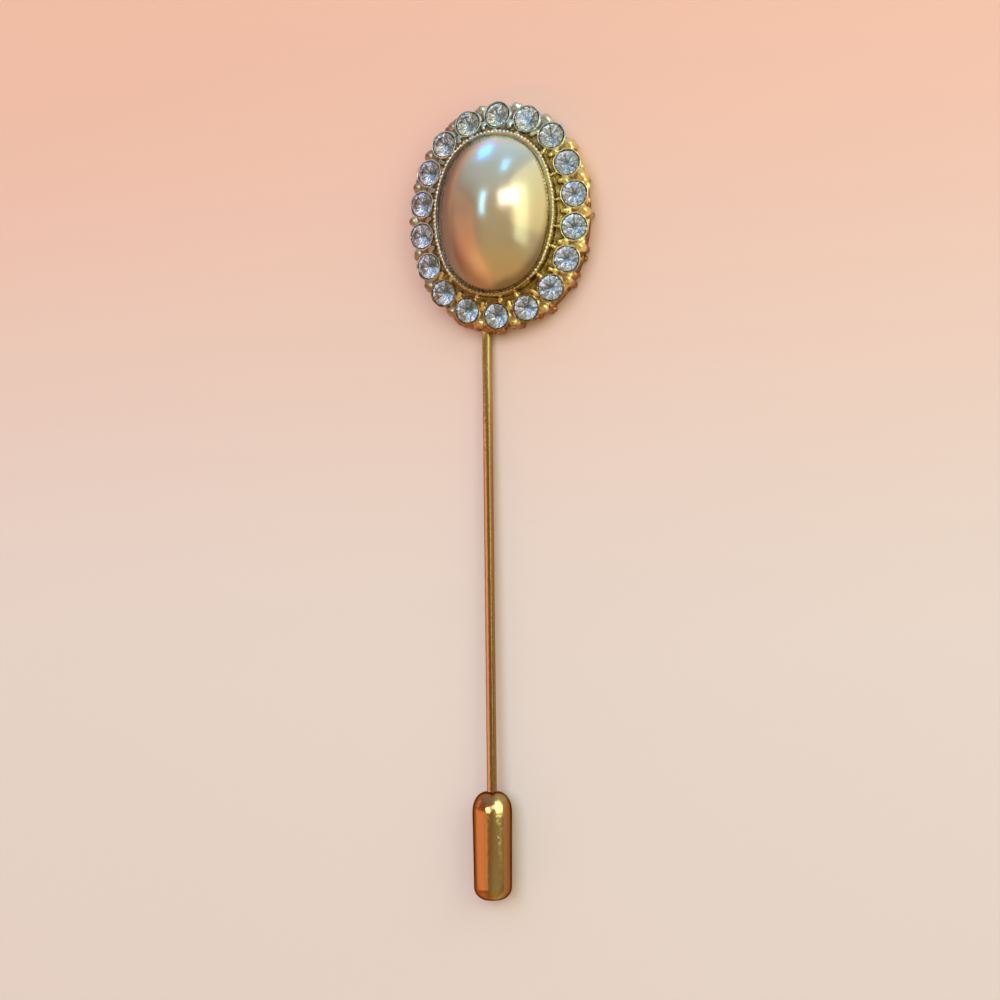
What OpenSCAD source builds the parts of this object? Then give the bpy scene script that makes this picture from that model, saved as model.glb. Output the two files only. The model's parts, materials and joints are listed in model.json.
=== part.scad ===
// Stick pin: an oval pearl in a bezel, a ring of round stones, a wire stem and a guard cap.
// The pin lies on its back. The flat back of the head is at z = 0 and its centre is the origin,
// the face looks up along +Z, the top of the head points along +Y and the stem runs along -Y.

/* [Pearl] */
// Half width of the pearl across its short way
pearl_half_w = 5.35; // [5.2:0.05:5.5]
// Half length of the pearl along its long way
pearl_half_l = 7.0; // [6.8:0.05:7.3]
// How much less than the half width the radius of the outline's round ends is
pearl_end_less = 0.45; // [0.35:0.05:1]
// Height of the pearl's straight side
pearl_side_h = 1.86; // [1.4:0.02:2.2]
// Height of the dome above the straight side
pearl_dome_h = 3.14; // [2.6:0.02:3.6]
// Radius of the dome's arc as a share of the half width: 1 is a half ellipse, more is flatter at the rim
pearl_curve = 1.6; // [1:0.05:2.5]

/* [Bezel] */
// Thickness of the bezel wall round the pearl
bezel_t = 0.42; // [0.35:0.01:0.5]
// Height of the bezel's rim above the back
bezel_top = 3.7; // [3.3:0.1:4]
// Height of the floor under the pearl, above the back
seat_z = 1.6; // [1.4:0.1:1.9]
// Gap between the pearl and the metal
pearl_gap = 0.04; // [0.02:0.01:0.06]

/* [Stones] */
// Diameter of a stone
stone_d = 2.2; // [2.0:0.05:2.3]
// Width of a stone's flat table, corner to corner
table_d = 1.26; // [1.1:0.02:1.4]
// Height of the table above the stone's edge
crown_h = 0.34; // [0.25:0.01:0.45]
// Thickness of the stone's edge
edge_t = 0.07; // [0.04:0.01:0.12]
// Depth of the stone's point below its edge
pavilion_h = 0.92; // [0.8:0.02:1]
// Width across the corners where the stone's lower small facets end
pavilion_knee_d = 0.53; // [0.4:0.01:0.8]
// Distance from the pearl's edge out to the middle of a stone
ring_offset = 2.13; // [2.05:0.01:2.25]
// Height of the stones' edges above the back
ring_z = 2.45; // [2.3:0.05:2.7]
// Lean of the stones away from the pearl, in degrees
stone_lean = 9; // [6:1:12]
// Gap between a stone and its collet
stone_gap = 0.04; // [0.02:0.01:0.06]

/* [Setting] */
// Thickness of a collet's wall round its stone
collet_t = 0.17; // [0.14:0.01:0.2]
// Height of a collet's rim above the stone's edge
collet_rim = 0.1; // [0.06:0.01:0.16]
// Height of the solid plate between the collets
plate_h = 2.15; // [2.05:0.05:2.2]
// Reach of the plate past the middles of the stones
plate_reach = 0.86; // [0.8:0.02:1.04]
// Diameter of the large grains round the outside
outer_grain_d = 0.8; // [0.72:0.02:0.82]
// Distance of the large grains outside the ring of stones
outer_grain_out = 0.96; // [0.94:0.02:1.1]
// Depth of the middles of the large grains below the stones' edges
outer_grain_drop = 0.2; // [0.1:0.02:0.3]
// Diameter of the small grains beside the bezel
inner_grain_d = 0.6; // [0.56:0.02:0.66]
// Distance of the small grains inside the ring of stones
inner_grain_in = 1.0; // [0.9:0.02:1.04]
// Depth of the middles of the small grains below the stones' edges
inner_grain_drop = 0.3; // [0.26:0.02:0.4]
// Radius of a side ridge at its foot
ridge_foot_r = 0.24; // [0.2:0.01:0.3]
// Radius of a side ridge where it meets its grain
ridge_top_r = 0.34; // [0.3:0.01:0.35]
// Length of a side ridge below the middle of its grain
ridge_len = 1.9; // [1.4:0.1:2]

/* [Stem] */
// Diameter of the wire
stem_d = 0.9; // [0.8:0.05:1]
// Length of the stem from its root in the head to its tip
stem_len = 54.8; // [45:0.1:65]
// Distance of the stem's root to the side of the head's centre line
stem_side = 1.72; // [1:0.01:2.2]
// Slant of the stem back towards the head's centre line, in degrees
stem_slant = 1.5; // [0:0.1:2.5]
// Distance of the stem's root below the head's centre
stem_root = 6; // [5:0.5:7]
// Height of the wire's underside above the back, at the root
stem_lift = 0.12; // [0.1:0.01:0.3]
// Length of the stem's point
point_len = 3; // [2:0.5:5]
// How much the wire narrows, in radius, along the stretch that the cap goes over
taper_less = 0.03; // [0.02:0.01:0.04]
// Length of the narrowing stretch that shows outside the cap
taper_shows = 0.3; // [0.1:0.1:0.6]
// Radius of the tip of the point
tip_r = 0.08; // [0.05:0.01:0.15]
// Radius of the solder round the stem where it leaves the head
solder_r = 0.6; // [0.5:0.01:0.62]
// Distance from the root to the start of the solder
solder_start = 3.2; // [2.8:0.1:3.6]
// Length of the solder along the stem
solder_len = 2.1; // [1.6:0.1:2.6]
// Depth that the thin end of the solder runs into the wire
solder_sink = 0.02; // [0.01:0.01:0.04]

/* [Cap] */
// Length of the cap
cap_len = 9.65; // [9.2:0.05:12]
// Diameter of the cap at its open end
cap_open_d = 3.58; // [3.2:0.02:4]
// Diameter of the cap near its closed end
cap_closed_d = 3.43; // [3.2:0.01:3.5]
// Radius of the shoulder at the open end
shoulder_r = 1.2; // [0.6:0.05:1.3]
// Radius of the rounding at the closed end
closed_end_r = 1.15; // [1:0.05:1.55]
// Length of the stem that the cap covers
cap_cover = 8.6; // [7:0.1:8.8]
// Gap between the stem's side and the bore
bore_gap = 0.05; // [0.03:0.01:0.08]
// Gap between the stem's tip and the bottom of the bore
tip_gap = 0.3; // [0.1:0.05:0.3]
// Radius of the bore's mouth
mouth_r = 0.62; // [0.58:0.01:0.7]

/* [Hidden] */
stone_count = 18;
table_corners = 8;
dome_rings = 10;
dome_sides = 48;
arc_steps = 12;
overlap = 0.3;
oval_fn = 180;
$fn = 72;

// Outline of the pearl: two long side arcs and two round ends that meet smoothly.
pearl_end_r = pearl_half_w - pearl_end_less;
end_c = pearl_half_l - pearl_end_r;
side_r = (pow(pearl_half_w, 2) + pow(end_c, 2) - pow(pearl_end_r, 2)) / (2 * pearl_end_less);
side_c = side_r - pearl_half_w;
side_angle = atan2(end_c, side_c);

stone_r = stone_d / 2;
collet_r = stone_r + stone_gap + collet_t;
ring_end_len = (pearl_end_r + ring_offset) * (90 - side_angle) * PI / 180;
ring_side_len = (side_r + ring_offset) * side_angle * PI / 180;
ring_quarter = ring_end_len + ring_side_len;
ring_pitch = 4 * ring_quarter / stone_count;

stem_r = stem_d / 2;
stem_root_z = stem_lift + stem_r;
cap_s = stem_len - cap_cover;
shoulder_s = cap_s + shoulder_r;
shoulder_c = cap_open_d / 2 - shoulder_r;
// The stem rises towards the cap until the cap's shoulder rests level with the head's back.
stem_tilt = atan2(shoulder_c, shoulder_s)
    - asin((stem_root_z - shoulder_r) / norm([shoulder_s, shoulder_c]));
bore_r = stem_r + bore_gap;
bore_len = cap_cover + tip_gap;
block = 100;

// Distance along the ring, from the nearest of its top and bottom points.
function from_pole(s) =
    let (q = floor(s / ring_quarter))
    q % 2 == 0 ? s - q * ring_quarter : (q + 1) * ring_quarter - s;

// Outward direction there, as if in the quarter at the top right.
function quarter_angle(u) =
    u < ring_end_len
        ? 90 - u / (pearl_end_r + ring_offset) * 180 / PI
        : side_angle - (u - ring_end_len) / (side_r + ring_offset) * 180 / PI;

// Point on the oval that lies offset outside the pearl's edge, for a direction in the same quarter.
function quarter_point(angle, offset) =
    angle > side_angle
        ? [0, end_c] + (pearl_end_r + offset) * [cos(angle), sin(angle)]
        : [-side_c, 0] + (side_r + offset) * [cos(angle), sin(angle)];

// Place of step k clockwise round the ring from its top, as x, y and outward angle.
function ring_place(k) =
    let (s = k * ring_pitch)
    let (q = floor(s / ring_quarter))
    let (a = quarter_angle(from_pole(s)))
    let (p = quarter_point(a, ring_offset))
    q == 0 ? [p[0], p[1], a]
        : q == 1 ? [p[0], -p[1], -a]
        : q == 2 ? [-p[0], -p[1], 180 + a]
        : [-p[0], p[1], 180 - a];

// A ring of points at one height.
function level(n, r, z, start) =
    [for (i = [0 : n - 1]) [r * cos(start + i * 360 / n), r * sin(start + i * 360 / n), z]];

// Points along an arc, from angle a to angle b.
function arc(centre, r, a, b) =
    [for (i = [0 : arc_steps])
        let (t = a + (b - a) * i / arc_steps)
        centre + r * [cos(t), sin(t)]];

// Oval that lies offset outside the pearl's edge.
module oval(offset) {
    split_y = end_c + (pearl_end_r + offset) * sin(side_angle);
    intersection() {
        translate([-side_c, 0]) circle(r = side_r + offset, $fn = oval_fn);
        translate([side_c, 0]) circle(r = side_r + offset, $fn = oval_fn);
        square([block, 2 * split_y], center = true);
    }
    for (end = [-1, 1]) {
        intersection() {
            translate([0, end * end_c]) circle(r = pearl_end_r + offset, $fn = oval_fn);
            translate([0, end * (split_y + block / 2)]) square([block, block], center = true);
        }
    }
}

// Puts what follows at step k of the ring, with +X outward and +Z along a stone's axis.
module at_ring(k) {
    place = ring_place(k);
    translate([place[0], place[1], ring_z])
        rotate([0, 0, place[2]])
            rotate([0, stone_lean, 0])
                children();
}

// Runs along the stem from its root, with +Z towards the tip.
module along_stem() {
    translate([-stem_side, -stem_root, stem_root_z])
        rotate([90 - stem_tilt, 0, stem_slant])
            children();
}

// Round brilliant: table, stars, kites and girdle facets above, mains and halves below.
module brilliant() {
    n = table_corners;
    step = 360 / n;
    table_r = table_d / 2;
    top_z = crown_h + edge_t / 2;
    knee_r = (stone_r + table_r) / 2;
    knee_z = top_z - (knee_r * cos(step / 2) - table_r) * crown_h / (stone_r - table_r);
    low_r = pavilion_knee_d / 2;
    low_z = -edge_t / 2 - (stone_r - low_r * cos(step / 2)) * pavilion_h / stone_r;
    points = concat(
        level(n, table_r, top_z, 0),
        level(n, knee_r, knee_z, step / 2),
        level(2 * n, stone_r, edge_t / 2, 0),
        level(2 * n, stone_r, -edge_t / 2, 0),
        level(n, low_r, low_z, step / 2),
        [[0, 0, -edge_t / 2 - pavilion_h]]
    );
    knee = n;
    upper = 2 * n;
    lower = 4 * n;
    low = 6 * n;
    culet = 7 * n;
    faces = concat(
        [[for (i = [n - 1 : -1 : 0]) i]],
        [for (i = [0 : n - 1]) [i, (i + 1) % n, knee + i]],
        [for (i = [0 : n - 1]) [i, knee + i, upper + 2 * i, knee + (i + n - 1) % n]],
        [for (i = [0 : n - 1]) [knee + i, upper + 2 * i + 1, upper + 2 * i]],
        [for (i = [0 : n - 1]) [knee + i, upper + (2 * i + 2) % (2 * n), upper + 2 * i + 1]],
        [for (i = [0 : 2 * n - 1])
            [upper + i, upper + (i + 1) % (2 * n), lower + (i + 1) % (2 * n), lower + i]],
        [for (i = [0 : n - 1]) [lower + 2 * i, lower + 2 * i + 1, low + i]],
        [for (i = [0 : n - 1]) [lower + 2 * i + 1, lower + (2 * i + 2) % (2 * n), low + i]],
        [for (i = [0 : n - 1]) [lower + 2 * i, low + i, culet, low + (i + n - 1) % n]]
    );
    polyhedron(points, faces, convexity = 2);
}

module stone(k) {
    color("lightsteelblue") at_ring(k) brilliant();
}

// Outline point of the pearl all the way round, by outward direction.
function pearl_rim(angle) =
    let (a = angle % 360)
    let (p = quarter_point(a <= 90 ? a : a <= 180 ? 180 - a : a <= 270 ? a - 180 : 360 - a, 0))
    [p[0] * (a > 90 && a < 270 ? -1 : 1), p[1] * (a > 180 ? -1 : 1)];

// Oval cabochon: a straight side and a full dome, closed at its top point.
module pearl() {
    base_z = seat_z + pearl_gap;
    side_z = base_z + pearl_side_h;
    rim = [for (i = [0 : dome_sides - 1]) pearl_rim(i * 360 / dome_sides)];
    flat = sqrt(pow(pearl_curve, 2) - 1);
    rings = concat(
        [[1, base_z]],
        [for (j = [0 : dome_rings - 1])
            let (share = cos(90 * j / dome_rings))
            let (rise = (sqrt(pow(pearl_curve, 2) - pow(share, 2)) - flat) / (pearl_curve - flat))
            [share, side_z + pearl_dome_h * rise]]
    );
    count = dome_rings + 1;
    top = count * dome_sides;
    points = concat(
        [for (ring = rings) for (p = rim) [ring[0] * p[0], ring[0] * p[1], ring[1]]],
        [[0, 0, side_z + pearl_dome_h]]
    );
    faces = concat(
        [[for (i = [0 : dome_sides - 1]) i]],
        [for (j = [0 : count - 2]) for (i = [0 : dome_sides - 1])
            let (next = (i + 1) % dome_sides)
            [j * dome_sides + i, (j + 1) * dome_sides + i, (j + 1) * dome_sides + next]],
        [for (j = [0 : count - 2]) for (i = [0 : dome_sides - 1])
            let (next = (i + 1) % dome_sides)
            [j * dome_sides + i, (j + 1) * dome_sides + next, j * dome_sides + next]],
        [for (i = [0 : dome_sides - 1])
            [(count - 1) * dome_sides + i, top, (count - 1) * dome_sides + (i + 1) % dome_sides]]
    );
    color("wheat") polyhedron(points, faces, convexity = 2);
}

// Solid plate that joins everything behind the stones.
module plate() {
    translate([0, 0, -overlap]) linear_extrude(height = plate_h + overlap)
        oval(ring_offset + plate_reach);
}

// Wall that stands round the pearl, solid up to the floor under it.
module bezel() {
    translate([0, 0, -overlap]) linear_extrude(height = bezel_top + overlap)
        oval(pearl_gap + bezel_t);
}

module pearl_seat() {
    translate([0, 0, seat_z]) linear_extrude(height = block) oval(pearl_gap);
}

// One collet, long enough to reach below the back at any lean.
module collet(k) {
    reach = ring_z + collet_r;
    at_ring(k) translate([0, 0, -reach]) cylinder(h = reach + collet_rim, r = collet_r);
}

// Hollow for a stone: a cone under its edge and a round opening above.
module stone_seat(k) {
    edge_r = stone_r + stone_gap;
    ledge_z = -edge_t / 2 - stone_gap;
    top_z = collet_rim + overlap;
    bottom_z = ledge_z - pavilion_h - stone_gap;
    at_ring(k) rotate_extrude() polygon([[0, bottom_z], [edge_r, ledge_z], [edge_r, top_z], [0, top_z]]);
}

// Large grain outside the gap after stone k, with the ridge that runs down the wall from it.
module outer_grain(k) {
    at_ring(k + 0.5) translate([outer_grain_out, 0, -outer_grain_drop]) {
        sphere(d = outer_grain_d);
        translate([0, 0, -ridge_len]) cylinder(h = ridge_len, r1 = ridge_foot_r, r2 = ridge_top_r);
    }
}

// Small grain beside the bezel, inside the gap after stone k.
module inner_grain(k) {
    at_ring(k + 0.5) translate([-inner_grain_in, 0, -inner_grain_drop]) sphere(d = inner_grain_d);
}

// Wire that narrows a little under the cap, with a conical point, and the solder at the head.
module stem() {
    wire = [
        [0, 0], [stem_r, 0], [stem_r, cap_s - taper_shows],
        [stem_r - taper_less, stem_len - point_len], [tip_r, stem_len], [0, stem_len]
    ];
    along_stem() {
        rotate_extrude() polygon(wire);
        translate([0, 0, solder_start]) cylinder(h = solder_len, r1 = solder_r, r2 = stem_r - solder_sink);
    }
}

module setting_and_stem() {
    color("goldenrod") difference() {
        union() {
            plate();
            bezel();
            for (k = [0 : stone_count - 1]) {
                collet(k);
                outer_grain(k);
                inner_grain(k);
            }
            stem();
        }
        pearl_seat();
        for (k = [0 : stone_count - 1]) stone_seat(k);
        translate([0, 0, -block / 2]) cube([2 * block, 2 * block, block], center = true);
    }
}

// Guard cap: a tapered round body with a rounded shoulder and a domed closed end.
module cap() {
    open_r = cap_open_d / 2;
    closed_r = cap_closed_d / 2;
    outline = concat(
        [[0, 0]],
        arc([open_r - shoulder_r, shoulder_r], shoulder_r, -90, 0),
        arc([closed_r - closed_end_r, cap_len - closed_end_r], closed_end_r, 0, 90),
        [[0, cap_len]]
    );
    mouth_h = mouth_r - bore_r + overlap;
    color("gold") along_stem() translate([0, 0, cap_s]) difference() {
        rotate_extrude() polygon(outline);
        translate([0, 0, -overlap]) cylinder(h = bore_len + overlap, r = bore_r);
        translate([0, 0, -overlap]) cylinder(h = mouth_h, r1 = mouth_r + overlap, r2 = bore_r);
    }
}

setting_and_stem();
pearl();
cap();
stone(0);  // stone_01
stone(1);  // stone_02
stone(2);  // stone_03
stone(3);  // stone_04
stone(4);  // stone_05
stone(5);  // stone_06
stone(6);  // stone_07
stone(7);  // stone_08
stone(8);  // stone_09
stone(9);  // stone_10
stone(10);  // stone_11
stone(11);  // stone_12
stone(12);  // stone_13
stone(13);  // stone_14
stone(14);  // stone_15
stone(15);  // stone_16
stone(16);  // stone_17
stone(17);  // stone_18
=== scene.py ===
import json
import math
import random
import bpy
import bmesh
import numpy as np
from mathutils import Matrix, Vector, noise


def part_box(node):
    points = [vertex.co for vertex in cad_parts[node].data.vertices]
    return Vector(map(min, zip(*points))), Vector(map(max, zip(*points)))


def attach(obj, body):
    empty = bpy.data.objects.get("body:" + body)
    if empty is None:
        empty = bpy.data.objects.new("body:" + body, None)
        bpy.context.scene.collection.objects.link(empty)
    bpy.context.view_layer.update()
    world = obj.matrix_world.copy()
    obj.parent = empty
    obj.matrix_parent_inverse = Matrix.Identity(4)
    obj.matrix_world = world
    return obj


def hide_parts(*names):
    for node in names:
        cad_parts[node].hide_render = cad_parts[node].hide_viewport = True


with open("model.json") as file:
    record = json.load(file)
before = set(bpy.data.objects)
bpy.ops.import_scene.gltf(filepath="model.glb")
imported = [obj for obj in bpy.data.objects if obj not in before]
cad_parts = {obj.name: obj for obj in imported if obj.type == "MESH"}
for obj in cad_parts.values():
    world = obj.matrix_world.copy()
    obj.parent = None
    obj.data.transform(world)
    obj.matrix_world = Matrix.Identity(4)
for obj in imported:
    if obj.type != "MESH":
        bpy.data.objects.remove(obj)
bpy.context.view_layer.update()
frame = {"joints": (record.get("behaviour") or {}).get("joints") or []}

mm = 0.001  # every mesh is drawn in millimetres and brought to metres once it is finished
scene = bpy.context.scene
scene.view_settings.view_transform = "Standard"


# Helpers for meshes

def newObject(name, mesh):
    obj = bpy.data.objects.new(name, mesh)
    scene.collection.objects.link(obj)
    return obj


def meshObject(name, points, faces):
    mesh = bpy.data.meshes.new(name)
    mesh.from_pydata([tuple(p) for p in points], [], faces)
    mesh.update()
    return newObject(name, mesh)


def dropObject(obj):
    data = obj.data
    bpy.data.objects.remove(obj)
    store = bpy.data.curves if isinstance(data, bpy.types.Curve) else bpy.data.meshes
    store.remove(data)


def joinObjects(name, objects):
    work = bmesh.new()
    for obj in objects:
        work.from_mesh(obj.data)
        dropObject(obj)
    mesh = bpy.data.meshes.new(name)
    work.to_mesh(mesh)
    work.free()
    return newObject(name, mesh)


def applied(obj, name):  # the object as its modifiers leave it, as a plain mesh
    graph = bpy.context.evaluated_depsgraph_get()
    mesh = bpy.data.meshes.new_from_object(obj.evaluated_get(graph))
    while None in mesh.materials[:]:
        mesh.materials.pop(index=mesh.materials[:].index(None))
    result = newObject(name, mesh)
    dropObject(obj)
    result.name = name
    return result


def coat(obj, material):  # smooth shading, and one material all over
    obj.data.shade_smooth()
    obj.data.materials.clear()
    obj.data.materials.append(material)


def finishPiece(obj, body, slotName, *nodes):  # to metres, then onto its body
    obj.data.transform(Matrix.Scale(mm, 4))
    obj.data.update()
    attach(obj, body)
    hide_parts(*nodes)
    print("piece", obj.name, "faces", len(obj.data.polygons))


# Helpers for node trees

def wire(tree, source, socket):  # a socket takes another node's output or a fixed value
    if isinstance(source, bpy.types.NodeSocket):
        tree.links.new(source, socket)
    else:
        socket.default_value = source


def addNode(tree, kind, inputs=None, **settings):
    node = tree.nodes.new(kind)
    for key, value in settings.items():
        setattr(node, key, value)
    for label, value in (inputs or {}).items():
        wire(tree, value, node.inputs[label])
    return node


def newTree(name, sizes):  # a geometry tree with named number inputs
    tree = bpy.data.node_groups.new(name, "GeometryNodeTree")
    tree.interface.new_socket(name="Geometry", in_out="INPUT", socket_type="NodeSocketGeometry")
    tree.interface.new_socket(name="Geometry", in_out="OUTPUT", socket_type="NodeSocketGeometry")
    for label, value in sizes.items():
        kind = "NodeSocketInt" if isinstance(value, int) else "NodeSocketFloat"
        socket = tree.interface.new_socket(name=label, in_out="INPUT", socket_type=kind)
        socket.default_value = value
    start = addNode(tree, "NodeGroupInput")
    end = addNode(tree, "NodeGroupOutput")
    return tree, start, end


def runTree(host, tree, sizes, name):
    modifier = host.modifiers.new(tree.name, "NODES")
    modifier.node_group = tree
    known = {item.name: item.identifier for item in tree.interface.items_tree if item.in_out == "INPUT"}
    for label, value in sizes.items():
        modifier[known[label]] = value
    result = applied(host, name)
    bpy.data.node_groups.remove(tree)
    return result


def mathNode(tree, operation, first, second):
    return addNode(tree, "ShaderNodeMath", {0: first, 1: second}, operation=operation).outputs[0]


def randomNumber(tree, low, high, seed):
    node = addNode(tree, "FunctionNodeRandomValue", data_type="FLOAT")
    for label, value in (("Min", low), ("Max", high), ("Seed", seed)):
        wire(tree, value, [s for s in node.inputs if s.name == label and s.enabled][0])
    return [s for s in node.outputs if s.enabled][0]


def realized(tree, copies):
    return addNode(tree, "GeometryNodeRealizeInstances", {"Geometry": copies}).outputs["Geometry"]


def dressed(tree, geometry, material, chosen=True):  # gives the chosen faces their material
    sockets = {"Geometry": geometry, "Selection": chosen, "Material": material}
    return addNode(tree, "GeometryNodeSetMaterial", sockets).outputs["Geometry"]


def closeTree(tree, end, geometry, material):  # real meshes with their material
    wire(tree, dressed(tree, realized(tree, geometry), material), end.inputs["Geometry"])


def roughen(tree, copies, size, depth):  # moves every point a little, so that no two copies are alike
    texture = addNode(tree, "ShaderNodeTexNoise", {"Scale": size, "Detail": 2})
    sockets = {0: texture.outputs["Color"], 1: (0.5, 0.5, 0.5)}
    centred = addNode(tree, "ShaderNodeVectorMath", sockets, operation="SUBTRACT")
    sockets = {0: centred.outputs[0], "Scale": depth}
    scaled = addNode(tree, "ShaderNodeVectorMath", sockets, operation="SCALE")
    sockets = {"Geometry": realized(tree, copies), "Offset": scaled.outputs[0]}
    return addNode(tree, "GeometryNodeSetPosition", sockets).outputs["Geometry"]


def store(mesh, name, kind, domain, values):
    field = "vector" if kind == "FLOAT_VECTOR" else "value"
    mesh.attributes.new(name, kind, domain).data.foreach_set(field, values)


def pointsObject(name, places):  # one point for each place, with its turn and its size
    host = meshObject(name, [place["at"] for place in places], [])
    store(host.data, "turn", "FLOAT_VECTOR", "POINT", [part for place in places for part in place["turn"]])
    store(host.data, "size", "FLOAT", "POINT", [place["size"] for place in places])
    return host


def copiesOnPoints(tree, points, instance):  # turned and sized by the points' own attributes
    turn = addNode(tree, "GeometryNodeInputNamedAttribute", {"Name": "turn"}, data_type="FLOAT_VECTOR")
    size = addNode(tree, "GeometryNodeInputNamedAttribute", {"Name": "size"}, data_type="FLOAT")
    rotation = addNode(tree, "FunctionNodeEulerToRotation", {0: turn.outputs["Attribute"]})
    sockets = {
        "Points": points,
        "Instance": instance,
        "Rotation": rotation.outputs[0],
        "Scale": size.outputs["Attribute"],
    }
    return addNode(tree, "GeometryNodeInstanceOnPoints", sockets).outputs["Instances"]


# The oval that everything on the head follows

pearlLow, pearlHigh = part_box("pearl")
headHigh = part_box("setting_and_stem")[1]
oval = {
    "halfWidth": (pearlHigh.x - pearlLow.x) / 2 / mm,
    "halfLength": (pearlHigh.y - pearlLow.y) / 2 / mm,
    "endLess": 0.45,  # how much smaller the round ends' radius is than the half width
}
endRadius = oval["halfWidth"] - oval["endLess"]
endCentre = oval["halfLength"] - endRadius
sideRadius = (oval["halfWidth"] ** 2 + endCentre ** 2 - endRadius ** 2) / (2 * oval["endLess"])
sideCentre = sideRadius - oval["halfWidth"]
sideAngle = math.atan2(endCentre, sideCentre)

ring = {
    "count": 18,
    "offset": 2.13,  # from the pearl's edge to the middle of a stone
    "height": 2.45,  # of the stones' edges above the back
    "lean": math.radians(9),
}


def ovalPlace(share, offset):  # point and outward angle, for a share of the way clockwise from the top
    endLength = (endRadius + offset) * (math.pi / 2 - sideAngle)
    quarter = endLength + (sideRadius + offset) * sideAngle
    turn, rest = divmod((share % 1) * 4 * quarter, quarter)
    along = rest if turn % 2 == 0 else quarter - rest
    if along < endLength:
        angle, radius = math.pi / 2 - along / (endRadius + offset), endRadius + offset
        x, y = radius * math.cos(angle), endCentre + radius * math.sin(angle)
    else:
        angle, radius = sideAngle - (along - endLength) / (sideRadius + offset), sideRadius + offset
        x, y = radius * math.cos(angle) - sideCentre, radius * math.sin(angle)
    signX, signY = ((1, 1), (1, -1), (-1, -1), (-1, 1))[int(turn) % 4]
    outward = math.atan2(signY * math.sin(angle), signX * math.cos(angle))
    return signX * x, signY * y, outward


def ringFrame(step):  # a stone's own axes: X outward, Z along its axis
    x, y, outward = ovalPlace(step / ring["count"], ring["offset"])
    turned = Matrix.Rotation(outward, 4, "Z") @ Matrix.Rotation(ring["lean"], 4, "Y")
    return Matrix.Translation((x, y, ring["height"])) @ turned


def loft(name, rows, wrap=False):  # joins rings of points one to the next; a ring may be a single point
    points, places, faces = [], [], []
    for row in rows:
        places.append(range(len(points), len(points) + len(row)))
        points += row
    for low, high in zip(places, places[1:] + places[:1] if wrap else places[1:]):
        sides = max(len(low), len(high))
        for i in range(sides):
            j = (i + 1) % sides
            if len(low) == 1:
                faces.append((low[0], high[j], high[i]))
            elif len(high) == 1:
                faces.append((low[i], low[j], high[0]))
            else:
                faces.append((low[i], low[j], high[j], high[i]))
    if not wrap:
        faces += [tuple(end) for end in (places[0][::-1], places[-1]) if len(end) > 1]
    return meshObject(name, points, faces)


def prism(name, lowOffset, low, high, highOffset, count=180):  # a solid oval slab
    ends = ((lowOffset, low), (highOffset, high))
    points = [(*ovalPlace(i / count, offset)[:2], height) for offset, height in ends for i in range(count)]
    faces = [tuple(range(count)), tuple(range(2 * count - 1, count - 1, -1))]
    for i in range(count):
        j = (i + 1) % count
        faces.append((i, i + count, j + count, j))
    return meshObject(name, points, faces)


def lathe(name, outline, axes, sides):  # turns an outline round Z, from its low end to its high end
    rows = []
    for radius, height in outline:
        angles = [2 * math.pi * i / sides for i in range(sides if radius else 1)]
        row = [(radius * math.cos(angle), radius * math.sin(angle), height) for angle in angles]
        rows.append([axes @ Vector(point) for point in row])
    return loft(name, rows)


# Helpers for materials

def placeParts(tree, kind="Object"):  # the coordinates, one by one
    place = addNode(tree, "ShaderNodeTexCoord")
    split = addNode(tree, "ShaderNodeSeparateXYZ", {0: place.outputs[kind]})
    return split.outputs["X"], split.outputs["Y"], split.outputs["Z"]


def weighted(tree, parts):  # the sum of values, each with its own weight
    total = 0.0
    for value, weight in parts:
        total = mathNode(tree, "ADD", mathNode(tree, "MULTIPLY", value, weight), total)
    return total


def noiseAt(tree, size, detail=3.0, stretch=(1, 1, 1)):  # on object coordinates, with size in millimetres
    place = addNode(tree, "ShaderNodeTexCoord")
    sockets = {"Vector": place.outputs["Object"], "Scale": [s / (size * mm) for s in stretch]}
    mapping = addNode(tree, "ShaderNodeMapping", sockets)
    sockets = {"Vector": mapping.outputs["Vector"], "Scale": 1, "Detail": detail}
    return addNode(tree, "ShaderNodeTexNoise", sockets).outputs["Fac"]


def spread(tree, value, low, high, newLow=0.0, newHigh=1.0):  # eases from the one number to the other
    sockets = {"Value": value, "From Min": low, "From Max": high, "To Min": newLow, "To Max": newHigh}
    return addNode(tree, "ShaderNodeMapRange", sockets, interpolation_type="SMOOTHSTEP").outputs["Result"]


def fade(tree, value, reach):  # eases from 0 to 1 over a reach given in millimetres
    return spread(tree, value, reach[0] * mm, reach[1] * mm)


def mixColour(tree, factor, first, second):
    first, second = [(*colour, 1) if isinstance(colour, tuple) else colour for colour in (first, second)]
    return addNode(tree, "ShaderNodeMix", {0: factor, 6: first, 7: second}, data_type="RGBA").outputs[2]


def addBump(tree, shader, size, detail, depth, stretch=(1, 1, 1)):
    sockets = {"Distance": depth * mm, "Height": noiseAt(tree, size, detail, stretch)}
    wire(tree, addNode(tree, "ShaderNodeBump", sockets).outputs["Normal"], shader.inputs["Normal"])


def addGloss(tree, shader, size, low, high, stretch=(1, 1, 1)):  # roughness that wanders between patches
    texture = noiseAt(tree, size, 3.0, stretch)
    wire(tree, spread(tree, texture, 0.3, 0.7, low, high), shader.inputs["Roughness"])


def newMaterial(name, look):  # with what its dictionary fixes; its colours are wired in afterwards
    material = bpy.data.materials.new(name)
    material.use_nodes = True
    tree = material.node_tree
    shader = tree.nodes["Principled BSDF"]
    for label, value in look["fixed"].items():
        shader.inputs[label].default_value = value
    if "gloss" in look:
        addGloss(tree, shader, **look["gloss"])
    if "bump" in look:
        addBump(tree, shader, **look["bump"])
    return material, tree, shader


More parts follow.
